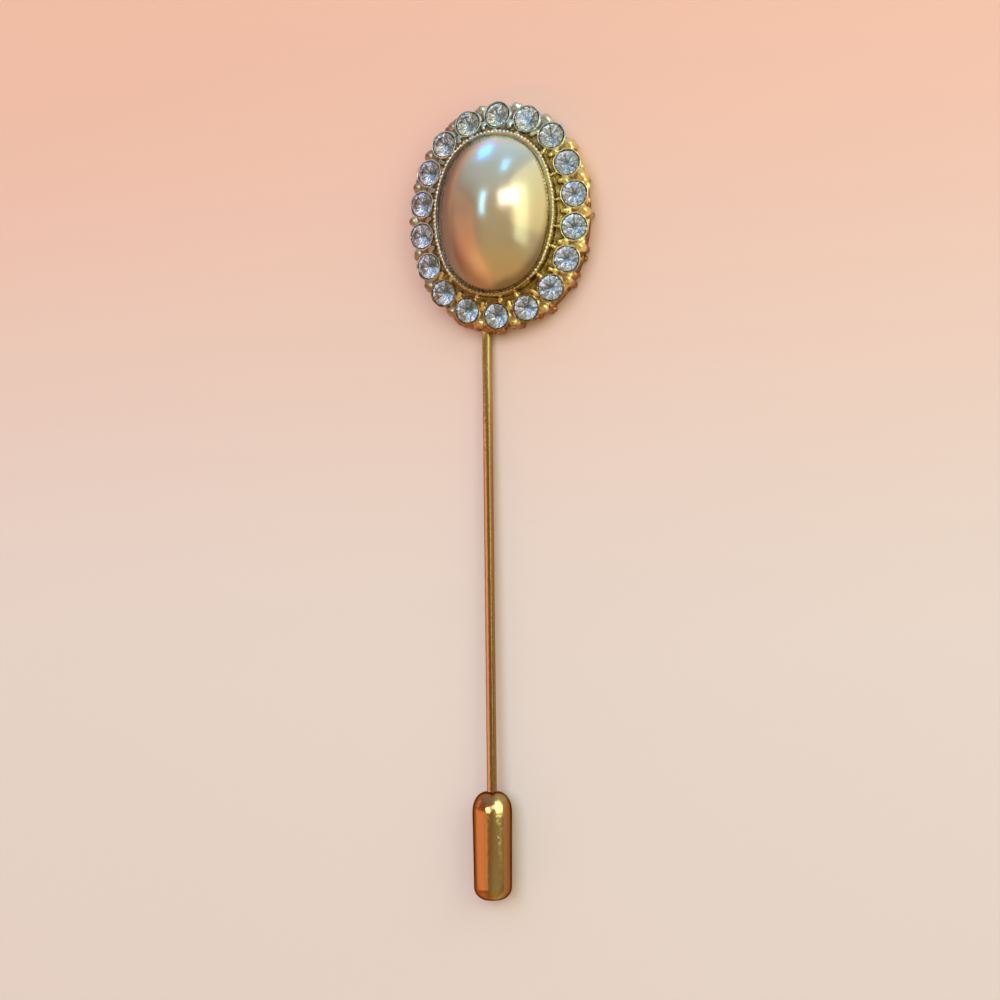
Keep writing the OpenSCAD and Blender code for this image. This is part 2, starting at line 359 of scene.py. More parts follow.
castLook = {
    "yellow": (0.88, 0.75, 0.31),
    "greyReflection": (0.50, 0.48, 0.41),  # painted grey reflection, mostly on the left and at the top
    "ragged": 2.2,  # how ragged the border between the two is
    "wallReach": (2.3, 1.3),  # in height: below it the wall stays golden all round
    "coolTopReflection": (0.60, 0.70, 0.66),  # painted cool reflection, greyest at the top end
    "coolTopReach": (5.5, 8.5),  # along the head
    "russet": (0.36, 0.19, 0.12),  # on the outermost knobs at the left
    "russetReach": (0.84, 0.94),  # share of the way to the outline, squared
    "russetSide": (0.0, -0.4),  # share of the half width
    "russetMost": 0.75,
    "reddishReflection": (0.34, 0.15, 0.05),  # painted reddish-brown reflection, low on the side wall, most of all towards the stem
    "reddishReflectionReach": (-0.2, -1.5),
    "reddishReflectionSpeckle": 3.0,
    # patina together with painted shade, in the hollows
    "patinaAndShade": (0.29, 0.21, 0.08),
    "patinaAndShadeReach": (0.55, 0.9),
    "gloss": {"size": 0.5, "low": 0.12, "high": 0.34},
    "bump": {"size": 0.3, "detail": 4.0, "depth": 0.06},
    "fixed": {"Metallic": 1},
}


def greyReflectionMask(tree, raggedness):  # 0 where grey reflection is painted on the head's left and top, 1 on its yellow right
    x, y, _ = placeParts(tree)
    ragged = mathNode(tree, "SUBTRACT", noiseAt(tree, 1.6), 0.5)
    return fade(tree, weighted(tree, [(x, 1.0), (y, -0.45), (ragged, 12 * raggedness * mm)]), (-3.6, 3.6))


def topEnd(tree):  # 1 at the head's top end, where the cool reflection is painted, with a ragged border
    ragged = mathNode(tree, "SUBTRACT", noiseAt(tree, 1.3), 0.5)
    along = weighted(tree, [(placeParts(tree)[1], 1.0), (ragged, 8 * mm)])
    return fade(tree, along, castLook["coolTopReach"])


def makeCastGold():  # plated casting, dark in its hollows from patina and painted shade, with painted grey reflection on one side and painted reddish-brown reflection low down
    material, tree, shader = newMaterial("castGold", castLook)
    x, y, height = placeParts(tree)
    lowWall = fade(tree, height, castLook["wallReach"])
    # painted grey reflection on the left and top, kept golden low on the wall
    golden = mathNode(tree, "MAXIMUM", greyReflectionMask(tree, castLook["ragged"]), lowWall)
    plating = mixColour(tree, golden, castLook["greyReflection"], castLook["yellow"])
    # painted cool reflection at the head's top end
    plating = mixColour(tree, topEnd(tree), plating, castLook["coolTopReflection"])
    across = mathNode(tree, "DIVIDE", x, headHigh.x)
    upwards = mathNode(tree, "DIVIDE", y, headHigh.y)
    reach = weighted(tree, [(mathNode(tree, "POWER", part, 2.0), 1.0) for part in (across, upwards)])
    outer = spread(tree, reach, *castLook["russetReach"], 0.0, castLook["russetMost"])
    outer = mathNode(tree, "MULTIPLY", outer, spread(tree, across, *castLook["russetSide"]))
    plating = mixColour(tree, outer, plating, castLook["russet"])
    # painted reddish-brown reflection, low on the side wall and towards the stem
    speckle = -castLook["reddishReflectionSpeckle"] * mm
    lowDown = weighted(tree, [(height, 1.0), (y, 0.16), (x, -0.04), (noiseAt(tree, 0.7), speckle)])
    plating = mixColour(tree, fade(tree, lowDown, castLook["reddishReflectionReach"]), plating, castLook["reddishReflection"])
    # dark hollows: patina together with painted shade
    hollow = addNode(tree, "ShaderNodeAttribute", attribute_name="hollow")
    dark = spread(tree, hollow.outputs["Fac"], *castLook["patinaAndShadeReach"])
    wire(tree, mixColour(tree, dark, plating, castLook["patinaAndShade"]), shader.inputs["Base Color"])
    return material


drawnMarks = {  # long along the wire and the cap
    "gloss": {"size": 0.6, "low": 0.10, "high": 0.19, "stretch": (1, 0.15, 1)},
    "bump": {"size": 0.24, "detail": 6.0, "depth": 0.022, "stretch": (1, 0.5, 1)},
}
wireLook = {
    "bright": (0.52, 0.39, 0.17),
    "deep": (0.44, 0.30, 0.12),
    "reflectionTone": (0.34, 0.19, 0.075),  # painted browner reflection along its lower half
    "along": 1,  # that colour comes in along Y
    "middle": 0,
    "reach": (10, 26),
    "streak": 0.5,  # width of the drawing marks
    "fixed": {"Metallic": 1, "Specular Tint": (0.85, 0.70, 0.55, 1)},
    **drawnMarks,
}
capLook = {
    "bright": (0.47, 0.36, 0.16),
    "deep": (0.44, 0.30, 0.12),
    "reflectionTone": (0.39, 0.175, 0.065),  # painted redder reflection on its left and at its right edge
    "along": 0,
    "middle": 0.6,  # where the painted bright reflection band runs
    "reach": (0.15, 0.7),
    "streak": 0.7,
    "fixed": {"Metallic": 1, "Specular Tint": (0.18, 0.07, 0.04, 1)},
    **drawnMarks,
}


def makePolishedGold(name, look):  # smooth plating with faint drawing marks along it, and a painted reflection tone away from its middle
    material, tree, shader = newMaterial(name, look)
    tone = spread(tree, noiseAt(tree, look["streak"], 3.0, (1, 0.08, 1)), 0.38, 0.62)
    plating = mixColour(tree, tone, look["bright"], look["deep"])
    # painted reflection tone away from the middle line
    away = mathNode(tree, "SUBTRACT", placeParts(tree)[look["along"]], look["middle"] * mm)
    away = fade(tree, mathNode(tree, "ABSOLUTE", away, 0), look["reach"])
    wire(tree, mixColour(tree, away, plating, look["reflectionTone"]), shader.inputs["Base Color"])
    return material


rimLook = {
    "yellow": (1.0, 0.95, 0.58),
    # painted grey reflection, on the left and at the top
    "greyReflection": (0.96, 0.95, 0.92),
    # painted cool reflection at the top end
    "coolTopReflection": (0.60, 0.76, 0.88),
    "brown": (0.46, 0.29, 0.12),  # at the end by the stem
    "slopeShade": (0.58, 0.52, 0.26),  # painted shade on the slope down to the pearl
    # painted shade on the slope, where the grey reflection is painted
    "slopeShadeGrey": (0.40, 0.38, 0.32),
    "brownReach": (-5.2, -8.2),
    "brownSpeckle": 2.5,
    "ragged": 1.4,
    "gloss": {"size": 0.4, "low": 0.14, "high": 0.28},
    "bump": {"size": 0.3, "detail": 2.0, "depth": 0.012},
    "fixed": {"Metallic": 1},
}


def makeRimGold():  # the thin burnished edges: bezel, beads and collets
    material, tree, shader = newMaterial("rimGold", rimLook)
    # painted grey reflection on the left and top
    golden = greyReflectionMask(tree, rimLook["ragged"])
    plating = mixColour(tree, golden, rimLook["greyReflection"], rimLook["yellow"])
    # painted cool reflection at the top end
    plating = mixColour(tree, topEnd(tree), plating, rimLook["coolTopReflection"])
    low = weighted(tree, [(placeParts(tree)[1], 1.0), (noiseAt(tree, 1.0), -rimLook["brownSpeckle"] * mm)])
    plating = mixColour(tree, fade(tree, low, rimLook["brownReach"]), plating, rimLook["brown"])
    # painted shade down the bezel's slope, darkest beside the pearl
    hollow = addNode(tree, "ShaderNodeAttribute", attribute_name="hollow")
    slope = mixColour(tree, golden, rimLook["slopeShadeGrey"], rimLook["slopeShade"])
    wire(tree, mixColour(tree, hollow.outputs["Fac"], plating, slope), shader.inputs["Base Color"])
    return material


pearlLook = {
    "cream": (0.68, 0.59, 0.40),
    "rose": (0.66, 0.54, 0.38),
    "pearlTopReflection": (0.82, 0.94, 0.78),  # painted cool reflection at its top end
    # painted dark reflection on the left and painted shade beside the bezel
    "edge": (0.30, 0.21, 0.13),
    "pearlTopReach": (3.5, 6.8),
    "leftReach": (4.9, 2.9),  # how the painted dark reflection comes in on the left
    "bezelShadeReach": (4.2, 3.4),  # and the painted shade beside the bezel
    "gloss": {"size": 1.5, "low": 0.21, "high": 0.27},
    "fixed": {
        "Metallic": 0.88,
        "Specular Tint": (0.04, 0.03, 0.02, 1),
        "Coat Weight": 0.65,
        "Coat Roughness": 0.03,
        "Coat IOR": 1.8,
    },
}


def makePearlLustre():  # a satin metallic lustre under a clear glossy coat, with painted shade beside the bezel, painted dark reflection on the left and painted cool reflection at its top end
    material, tree, shader = newMaterial("pearlLustre", pearlLook)
    tone = spread(tree, noiseAt(tree, 5.0, 2.0), 0.4, 0.65)
    lustre = mixColour(tree, tone, pearlLook["cream"], pearlLook["rose"])
    x, y, z = placeParts(tree)
    # painted cool reflection at the pearl's top end
    lustre = mixColour(tree, fade(tree, y, pearlLook["pearlTopReach"]), lustre, pearlLook["pearlTopReflection"])
    # painted dark reflection on the left and painted shade beside the bezel
    height = weighted(tree, [(z, 1.0), (y, 0.09), (noiseAt(tree, 1.2), 0.4 * mm)])
    leftSide = fade(tree, weighted(tree, [(height, 1.0), (x, 0.6), (y, 0.01)]), pearlLook["leftReach"])
    shadeAndDarkReflection = mathNode(tree, "MAXIMUM", leftSide, fade(tree, height, pearlLook["bezelShadeReach"]))
    wire(tree, mixColour(tree, shadeAndDarkReflection, lustre, pearlLook["edge"]), shader.inputs["Base Color"])
    return material


glassLook = {
    "cold": (0.93, 0.97, 1.0),
    "rosy": (0.97, 0.94, 1.0),
    "fixed": {"Roughness": 0.01, "Transmission Weight": 1, "IOR": 1.58},
}


def makeStoneGlass():  # clear paste with a faint cold tint
    material, tree, shader = newMaterial("stoneGlass", glassLook)
    tint = spread(tree, noiseAt(tree, 2.4, 1.0), 0.4, 0.6)
    wire(tree, mixColour(tree, tint, glassLook["cold"], glassLook["rosy"]), shader.inputs["Base Color"])
    return material


foilLook = {
    # painted shade on the darker foiled faces
    "dark": (0.28, 0.34, 0.38),
    "coldLight": (0.76, 0.89, 0.94),
    "warmLight": (0.88, 0.84, 0.88),
    "straw": (1.0, 1.0, 0.88),  # painted reflection on the stones at the top of the ring
    "lilac": (0.94, 0.92, 1.0),  # and on those on the left
    "strawReach": (5, 9),
    "lilacReach": (-3, -8),
    "gloss": {"size": 0.5, "low": 0.12, "high": 0.26},
    "bump": {"size": 0.3, "detail": 1.0, "depth": 0.05},
    "fixed": {"Metallic": 1},
}


def makeStoneFoil():  # silver backing behind the stones, with painted light and shade on its faces and painted reflections on the top and left stones
    material, tree, shader = newMaterial("stoneFoil", foilLook)
    tint = spread(tree, noiseAt(tree, 0.9, 2.0), 0.35, 0.65)
    light = mixColour(tree, tint, foilLook["coldLight"], foilLook["warmLight"])
    x, y, _ = placeParts(tree)
    # painted reflections: lilac on the left, straw at the top
    light = mixColour(tree, fade(tree, x, foilLook["lilacReach"]), light, foilLook["lilac"])
    light = mixColour(tree, fade(tree, y, foilLook["strawReach"]), light, foilLook["straw"])
    # painted light and shade, face by face
    bright = addNode(tree, "ShaderNodeAttribute", attribute_name="bright")
    wire(tree, mixColour(tree, bright.outputs["Fac"], foilLook["dark"], light), shader.inputs["Base Color"])
    return material


goldCast = makeCastGold()
goldWire = makePolishedGold("wireGold", wireLook)
goldCap = makePolishedGold("capGold", capLook)
goldRim = makeRimGold()
pearlFinish = makePearlLustre()
stoneGlass = makeStoneGlass()
stoneFoil = makeStoneFoil()
print("materials ready")


# Camera, at the photograph's angle

view = {
    "target": (-0.42, -25.75, 2.0),
    "distance": 150.0,
    "yaw": math.radians(21.1),
    "pitch": math.radians(1.34),
    "roll": math.radians(-1.19),
    "swing": math.radians(1.5),  # the head's turn to the stem
    "lens": 59.69,
    "nearest": 0.005,  # in metres, as the camera takes it
}


def makeCamera():
    yaw, pitch = view["yaw"], view["pitch"]
    back = Vector((math.sin(yaw) * math.cos(pitch), -math.sin(pitch), math.cos(yaw) * math.cos(pitch)))
    place = Vector(view["target"]) + view["distance"] * back
    right = Vector((0, 1, 0)).cross(back).normalized()
    turned = Matrix.Rotation(view["roll"], 3, back) @ Matrix((right, back.cross(right), back)).transposed()
    swing = Matrix.Rotation(view["swing"], 3, "Z")
    axes = (swing @ turned).to_4x4()
    data = bpy.data.cameras.new("camera")
    data.sensor_width = 36
    data.lens = view["lens"]
    data.clip_start = view["nearest"]
    camera = newObject("camera", data)
    camera.matrix_world = Matrix.Translation(swing @ place * mm) @ axes
    scene.camera = camera


makeCamera()


# Floor, studio light and surroundings

floorLook = {
    "peach": (0.88, 0.56, 0.455),
    "beige": (0.81, 0.74, 0.71),
    "reach": (-45, 25),  # beige at the pin's foot, peach at its head
    "size": 3000.0,
    "fixed": {"Roughness": 0.9, "Specular IOR Level": 0.2},
}


def makeFloor():
    half = floorLook["size"] / 2 * mm
    corners = [(-half, -half, 0), (half, -half, 0), (half, half, 0), (-half, half, 0)]
    floor = meshObject("floor", corners, [(0, 1, 2, 3)])
    material, tree, shader = newMaterial("floorPaper", floorLook)
    rise = fade(tree, placeParts(tree)[1], floorLook["reach"])
    wire(tree, mixColour(tree, rise, floorLook["beige"], floorLook["peach"]), shader.inputs["Base Color"])
    floor.data.materials.append(material)


def addLamp(name, size, glow, colour, axes):  # glow is how bright the panel itself looks
    width, height = size
    data = bpy.data.lights.new(name, "AREA")
    data.shape = "RECTANGLE"
    data.size = width * mm
    data.size_y = height * mm
    data.energy = glow * math.pi * width * height * mm * mm
    data.color = colour
    lamp = newObject(name, data)
    lamp.matrix_world = axes
    lamp.visible_camera = False


def addPanel(name, towards, across, away, size, glow, colour, aim=(0, 0, 4)):  # faces the point aim
    outward = Vector(towards).normalized()
    across = Vector(across)
    across = (across - across.dot(outward) * outward).normalized()
    axes = Matrix((across, outward.cross(across), outward)).transposed().to_4x4()
    centre = Vector(aim) + outward * away
    addLamp(name, size, glow, colour, Matrix.Translation(centre * mm) @ axes)


def addScreen(name, start, end, height, glow, colour):  # on the floor, its ends anticlockwise round the pin
    start, end = Vector((*start, 0)), Vector((*end, 0))
    along, up = (end - start).normalized(), Vector((0, 0, 1))
    axes = Matrix((along, up, along.cross(up))).transposed().to_4x4()
    centre = (start + end + up * height) / 2 + up
    size = ((end - start).length, height)
    addLamp(name, size, glow, colour, Matrix.Translation(centre * mm) @ axes)


room = {
    "above": (0.46, 0.38, 0.24),
    "left": (0.30, 0.17, 0.11),
    "foot": (0.60, 0.40, 0.16),
    "top": (0.52, 0.64, 0.80),
    "leftReach": (-0.2, -0.7),
    "footReach": (-0.3, -0.8),
    "topReach": (0.2, 0.9),
}


def makeSurroundings():  # a dim brown room, warmer towards the foot of the pin and cooler past its top
    world = bpy.data.worlds.new("surroundings")
    scene.world = world
    world.use_nodes = True
    tree = world.node_tree
    x, y, _ = placeParts(tree, "Generated")
    colour = room["above"]
    for part, side in ((x, "left"), (y, "foot"), (y, "top")):
        colour = mixColour(tree, spread(tree, part, *room[side + "Reach"]), colour, room[side])
    wire(tree, colour, tree.nodes["Background"].inputs["Color"])
    tree.nodes["Background"].inputs["Strength"].default_value = 1


capAim, shoulderAim, stemAim, wallAim = (-1, -56, 2), (0, -53.5, 3), (-1, -44, 1), (0, 0, 1)
panels = [  # name, direction towards it and of its width, distance, width and height, glow, colour, aim
    ("softKey", (-0.07, 0.22, 0.97), (1, 0, 0), 600, (420, 420), 2.74, (0.83, 0.88, 1.0)),
    ("windowLight", (0.50, 0.36, 0.79), (0.85, 0.10, -0.52), 1500, (850, 380), 3.0, (0.96, 0.98, 1.0)),
    ("warmBand", (0.79, 0.10, 0.60), (0.60, 0, -0.80), 170, (58, 166), 1.15, (0.66, 0.84, 0.64)),
    ("coolStrip", (-0.28, 0.28, 0.92), (1, 0, 0.3), 900, (140, 400), 4.4, (0.20, 0.55, 1.0)),
    ("coolLow", (-0.39, 0.915, 0.11), (1, 0.4, 0), 240, (56, 58), 5.2, (0.0, 0.21, 1.0)),
    ("coolHigh", (0.17, 0.87, 0.47), (1, 0, 0), 300, (52, 70), 3.4, (0.10, 0.46, 1.0)),
    ("besideCap", (-0.74, -0.17, 0.66), (0.67, 0, 0.74), 120, (196, 44), 0.86, (1.0, 0.80, 0.52), capAim),
    ("shoulderSpot", (-0.06, 0.17, 0.98), (1, 0, 0), 120, (56, 46), 7.0, (0.85, 0.92, 1.0), shoulderAim),
    ("shoulderGlow", (0.85, 0.34, 0.41), (0, 1, 0), 130, (116, 96), 2.6, (0.95, 1.0, 0.85), shoulderAim),
    ("shoulderCorner", (-0.92, 0.34, 0.18), (0, 1, 0), 130, (60, 50), 0.7, (1.0, 0.66, 0.55), shoulderAim),
    ("besideStem", (-0.80, 0, 0.60), (0, 1, 0), 150, (76, 190), 1.4, (1.0, 0.78, 0.9), stemAim),
    ("besideHead", (0.94, -0.12, 0.32), (0, 1, 0), 200, (150, 70), 1.6, (1.0, 0.97, 0.85), wallAim),
    ("aboveRim", (-0.10, 0.02, 0.99), (1, 0, 0), 300, (150, 190), 1.5, (1.0, 0.98, 0.84)),
    ("besideRim", (-0.93, 0.02, 0.38), (0, 1, 0), 150, (180, 60), 0.8, (1.0, 0.92, 0.58)),
]
leftScreens = [  # name, start and end along Y, glow and colour: brighter and redder towards the foot
    ("leftScreenStart", 90, 20, 0.20, (1.0, 0.52, 0.44)),
    ("leftScreen", 20, -30, 0.34, (1.0, 0.44, 0.34)),
    ("leftScreenNear", -30, -80, 0.42, (1.0, 0.34, 0.22)),
    ("leftScreenFar", -80, -620, 0.48, (1.0, 0.28, 0.18)),
]


def makeLights():  # the key light is for the floor and its shadows, the others are what the pin reflects
    for panel in panels:
        addPanel(*panel)
    bpy.data.objects["softKey"].visible_glossy = False
    bpy.data.objects["shoulderSpot"].data.shape = "ELLIPSE"
    for name, start, stop, glow, colour in leftScreens:
        addScreen(name, (-200, start), (-200, stop), 300, glow, colour)
    addScreen("rightScreen", (200, -30), (200, 260), 260, 0.55, (1.0, 1.0, 0.5))


def lightOnly(lampNames, pieceNames):  # these lamps light these pieces and nothing else
    reach = bpy.data.collections.new(lampNames[0] + "Reach")
    for name in pieceNames:
        reach.objects.link(bpy.data.objects[name])
    for name in lampNames:
        bpy.data.objects[name].light_linking.receiver_collection = reach


makeFloor()
makeSurroundings()
makeLights()
print("camera, floor and lights ready")


# Pearl

pearlForm = {
    "foot": [(0.94, 0), (0.985, 0.04), (1.0, 0.15)],  # share of the oval, and height
    "rimHeight": 1.86,  # of the straight side, up to where the dome starts
    "rimLess": 0.1,  # how far below the dome the side's last ring of points lies
    "curve": 1.6,  # radius of the dome's arc, as a share of the pearl's half width
    "sides": 160,
    "levels": 56,
}


def pearlDome():
    low, top = pearlLow.z / mm, pearlHigh.z / mm
    edge = low + pearlForm["rimHeight"]
    sides, curve = pearlForm["sides"], pearlForm["curve"]
    flat = math.sqrt(curve ** 2 - 1)
    outline = [(share, low + rise) for share, rise in pearlForm["foot"]]
    outline.append((1.0, edge - pearlForm["rimLess"]))
    for j in range(pearlForm["levels"]):
        share = math.cos(math.pi / 2 * j / pearlForm["levels"])
        rise = (math.sqrt(curve ** 2 - share ** 2) - flat) / (curve - flat)
        outline.append((share, edge + (top - edge) * rise))
    rim = [ovalPlace(-i / sides, 0)[:2] for i in range(sides)]
    rows = [[(share * x, share * y, z) for x, y in rim] for share, z in outline]
    obj = loft("pearlDome", rows + [[(0, 0, top)]])
    coat(obj, pearlFinish)
    finishPiece(obj, "pin", "pearl", "pearl")


pearlDome()


# Stones

stoneForm = {
    "radius": 1.1,
    "table": 0.63,
    "crown": 0.34,
    "edge": 0.07,
    "pavilion": 0.92,
    "lowRing": 0.265,
    "corners": 8,
    "tilt": math.radians(2.5),  # how far a stone may sit askew
    "facetLightAndShade": [1.0, 0.6, 0.1],  # painted light and shade on the three kinds of foiled face
    "seed": 11,
}


def stoneCut():  # one brilliant, table up, with the foiled faces marked
    n = stoneForm["corners"]
    half = math.pi / n
    r, table = stoneForm["radius"], stoneForm["table"]
    edge = stoneForm["edge"] / 2
    top = stoneForm["crown"] + edge
    knee = (r + table) / 2
    kneeZ = top - (knee * math.cos(half) - table) * stoneForm["crown"] / (r - table)
    low = stoneForm["lowRing"]
    lowZ = -edge - (r - low * math.cos(half)) * stoneForm["pavilion"] / r

    def level(count, radius, z, start):
        angles = [start + 2 * math.pi / count * i for i in range(count)]
        return [(radius * math.cos(angle), radius * math.sin(angle), z) for angle in angles]

    points = level(n, table, top, 0) + level(n, knee, kneeZ, half)
    points += level(2 * n, r, edge, 0) + level(2 * n, r, -edge, 0)
    points += level(n, low, lowZ, half) + [(0, 0, -edge - stoneForm["pavilion"])]
    kneeAt, upperAt, lowerAt, lowAt, tip = n, 2 * n, 4 * n, 6 * n, 7 * n
    faces = [tuple(range(n))]
    for i in range(n):
        j, before = (i + 1) % n, (i - 1) % n
        a, b, c = 2 * i, 2 * i + 1, (2 * i + 2) % (2 * n)
        faces.append((i, kneeAt + i, j))
        faces.append((i, kneeAt + before, upperAt + a, kneeAt + i))
        faces.append((kneeAt + i, upperAt + a, upperAt + b))
        faces.append((kneeAt + i, upperAt + b, upperAt + c))
    for i in range(2 * n):
        j = (i + 1) % (2 * n)
        faces.append((upperAt + i, lowerAt + i, lowerAt + j, upperAt + j))
    clear = len(faces)
    for i in range(n):
        before = (i - 1) % n
        a, b, c = 2 * i, 2 * i + 1, (2 * i + 2) % (2 * n)
        faces.append((lowerAt + a, lowAt + i, lowerAt + b))
        faces.append((lowerAt + b, lowAt + i, lowerAt + c))
        faces.append((lowerAt + a, lowAt + before, tip, lowAt + i))
    obj = meshObject("stoneCut", points, faces)
    store(obj.data, "foil", "BOOLEAN", "FACE", [index >= clear for index in range(len(faces))])
    # painted light and shade for each foiled face
    store(obj.data, "bright", "FLOAT", "FACE", [0] * clear + stoneForm["facetLightAndShade"] * n)
    return obj


def stoneTree():  # the same stone at every place of the ring, each turned its own way
    sizes = {"Tilt": stoneForm["tilt"], "Seed": stoneForm["seed"]}
    tree, start, end = newTree("stoneRing", sizes)
    cut = addNode(tree, "GeometryNodeObjectInfo", {"Object": bpy.data.objects["stoneCut"]})
    copies = copiesOnPoints(tree, start.outputs["Geometry"], cut.outputs["Geometry"])
    tilt = start.outputs["Tilt"]
    away = mathNode(tree, "MULTIPLY", tilt, -1)
    askew = addNode(tree, "ShaderNodeCombineXYZ")
    for step, (low, high) in enumerate(((away, tilt), (away, tilt), (0.0, math.pi / 2))):
        seed = mathNode(tree, "ADD", start.outputs["Seed"], step)
        wire(tree, randomNumber(tree, low, high, seed), askew.inputs[step])
    sockets = {"Instances": copies, "Rotation": askew.outputs[0]}
    turned = addNode(tree, "GeometryNodeRotateInstances", sockets)
    glass = dressed(tree, realized(tree, turned.outputs["Instances"]), stoneGlass)
    marked = addNode(tree, "GeometryNodeInputNamedAttribute", {"Name": "foil"}, data_type="BOOLEAN")
    foiled = dressed(tree, glass, stoneFoil, marked.outputs["Attribute"])
    wire(tree, foiled, end.inputs["Geometry"])
    return tree, sizes


def ringPlaces(lift=0.0):
    places = []
    for step in range(ring["count"]):
        outward = ovalPlace(step / ring["count"], ring["offset"])[2]
        at = ringFrame(step) @ Vector((0, 0, lift))
        places.append({"at": at, "turn": (0, ring["lean"], outward), "size": 1.0})
    return places


def stones():
    cut = stoneCut()
    tree, sizes = stoneTree()
    obj = runTree(pointsObject("stonePoints", ringPlaces()), tree, sizes, "stones")
    dropObject(cut)
    nodes = ["stone_%02d" % (i + 1) for i in range(ring["count"])]
    finishPiece(obj, "pin", "stone", *nodes)


stones()


# Cast head: plate, walls, collets and grains run together as one casting

headForm = {
    "plateFoot": 2.86,  # reach of the plate at the back, outside the pearl's edge
    "plateOut": 2.8,  # and under the stones
    "plateTop": 2.35,
    "bezelOut": 0.42,
    "bezelTop": 3.45,
    "buried": 0.5,  # how far the parts reach past the back before it is cut flat
    "wallReach": 2.94,  # from the pearl's edge to the middle of the knobs between the stones
    "seed": 5,
    "voxel": 0.1,
    "waves": {"size": 0.9, "depth": 0.05, "above": 0.1},
    "hollows": {"rounds": 14, "reach": 0.09},
}
grainForm = {  # least and most of each measure
    "barSlope": (-0.5, 0.5),  # the short bar between the stones' inner sides
    "barSize": (0.2, 0.28),
    "barUneven": (0.8, 1.1),
    "barMiddle": -0.82,
    "barStep": 0.24,
    "barDrop": 0.04,
    "knobOut": (0.76, 0.92),  # the knob at the outline
    "knobSide": (-0.1, 0.1),
    "knobDrop": 0.12,
    "knobSize": (0.36, 0.46),
    "lumpOut": (0.7, 1.0),  # a small lump on each side of the knob
    "lumpSide": (0.3, 0.5),
    "lumpDrop": 0.22,
    "lumpSize": (0.18, 0.3),
    "swellings": 8,  # low rounds on the side wall, for each stone
    "swellingShare": (0.1, 0.9),
    "swellingOut": (-0.10, 0.14),
    "swellingHeight": (0.35, 2.0),
    "swellingSize": (0.22, 0.40),
    "grainShare": (-0.25, 0.25),  # the grain between the bezel and each stone
    "grainReach": 0.68,
    "grainHeight": 2.5,
    "grainSize": (0.14, 0.26),
    "rootLumps": 11,  # rough metal where the stem leaves the head
    "rootShare": (9.0, 10.5),  # in stones, clockwise from the top
    "rootOut": (0.06, 0.24),
    "rootHeight": (0.5, 1.6),
    "rootSize": (0.45, 0.6),
}
ribForm = {
    "shift": (-0.04, 0.04),
    "foot": (0.2, 0.34),  # radius low down
    "top": (0.4, 0.5),  # and under the knob
    "domeShare": 0.8,  # how much of its radius is left at the dome
    "heights": (0.3, 1.5, 1.95, 2.2, 2.35),  # flare's start and end, shoulder, dome and tip
    "sides": 24,
}
colletForm = {
    "radius": 1.24,
    "rim": 0.03,
    "foot": 0.98,
    "waist": (1.08, -1.0),  # radius, and height from the stone's edge
    "sides": 40,
}
seatForm = {
    "radius": 1.18,
    "ledge": 0.04,
    "depth": 1.0,
    "clear": 1.5,  # how far above the stone's edge the cutter reaches
    "floor": 1.6,  # of the pearl's well
    "wellTop": 8.0,
    "pearlGap": 0.05,
    "sides": 48,
}


def lumps(name, places):  # balls of the given sizes, one for each place
    sizes = {"Roundness": 2}
    tree, start, end = newTree(name, sizes)
    sockets = {"Radius": 1, "Subdivisions": start.outputs["Roundness"]}
    ball = addNode(tree, "GeometryNodeMeshIcoSphere", sockets)
    copies = copiesOnPoints(tree, start.outputs["Geometry"], ball.outputs["Mesh"])
    closeTree(tree, end, copies, goldCast)
    return runTree(pointsObject(name, places), tree, sizes, name)


def grainPlaces():  # the cast relief between the stones, on the side wall and round the stem's root
    draw = random.Random(headForm["seed"])
    places = []

    def pick(name):
        return draw.uniform(*grainForm[name])

    def put(at, size):
        places.append({"at": at, "turn": (0, 0, 0), "size": size})

    def putOnOval(step, reach, height, size):
        x, y, _ = ovalPlace(step / ring["count"], reach)
        put(Vector((x, y, height)), size)

    for step in range(ring["count"]):
        axes = ringFrame(step + 0.5)
        slope, size = pick("barSlope"), pick("barSize")
        for part in range(3):
            along = grainForm["barStep"] * (part - 1)
            at = Vector((grainForm["barMiddle"] + along, slope * along, -grainForm["barDrop"] * part))
            put(axes @ at, size * pick("barUneven"))
        put(axes @ Vector((pick("knobOut"), pick("knobSide"), -grainForm["knobDrop"])), pick("knobSize"))
        for side in (-1, 1):
            at = Vector((pick("lumpOut"), side * pick("lumpSide"), -grainForm["lumpDrop"]))
            put(axes @ at, pick("lumpSize"))
        for _ in range(grainForm["swellings"]):
            reach = headForm["wallReach"] + pick("swellingOut")
            putOnOval(step + pick("swellingShare"), reach, pick("swellingHeight"), pick("swellingSize"))
        share = step + pick("grainShare")
        putOnOval(share, grainForm["grainReach"], grainForm["grainHeight"], pick("grainSize"))
    for _ in range(grainForm["rootLumps"]):
        share, reach = pick("rootShare"), headForm["wallReach"] + pick("rootOut")
        putOnOval(share, reach, pick("rootHeight"), pick("rootSize"))
    return places


def wallRibs():  # a round rib down the side wall below each knob
    draw = random.Random(headForm["seed"] + 1)
    flare, full, shoulder, dome, tip = ribForm["heights"]
    low = -headForm["buried"]
    ribs = []
    for step in range(ring["count"]):
        share = (step + 0.5 + draw.uniform(*ribForm["shift"])) / ring["count"]
        x, y, _ = ovalPlace(share, headForm["wallReach"])
        foot, top = draw.uniform(*ribForm["foot"]), draw.uniform(*ribForm["top"])
        outline = [(0, low), (foot, low), (foot, flare), (top, full), (top, shoulder)]
        outline += [(top * ribForm["domeShare"], dome), (0, tip)]
        ribs.append(lathe("rib", outline, Matrix.Translation((x, y, 0)), ribForm["sides"]))
    return ribs


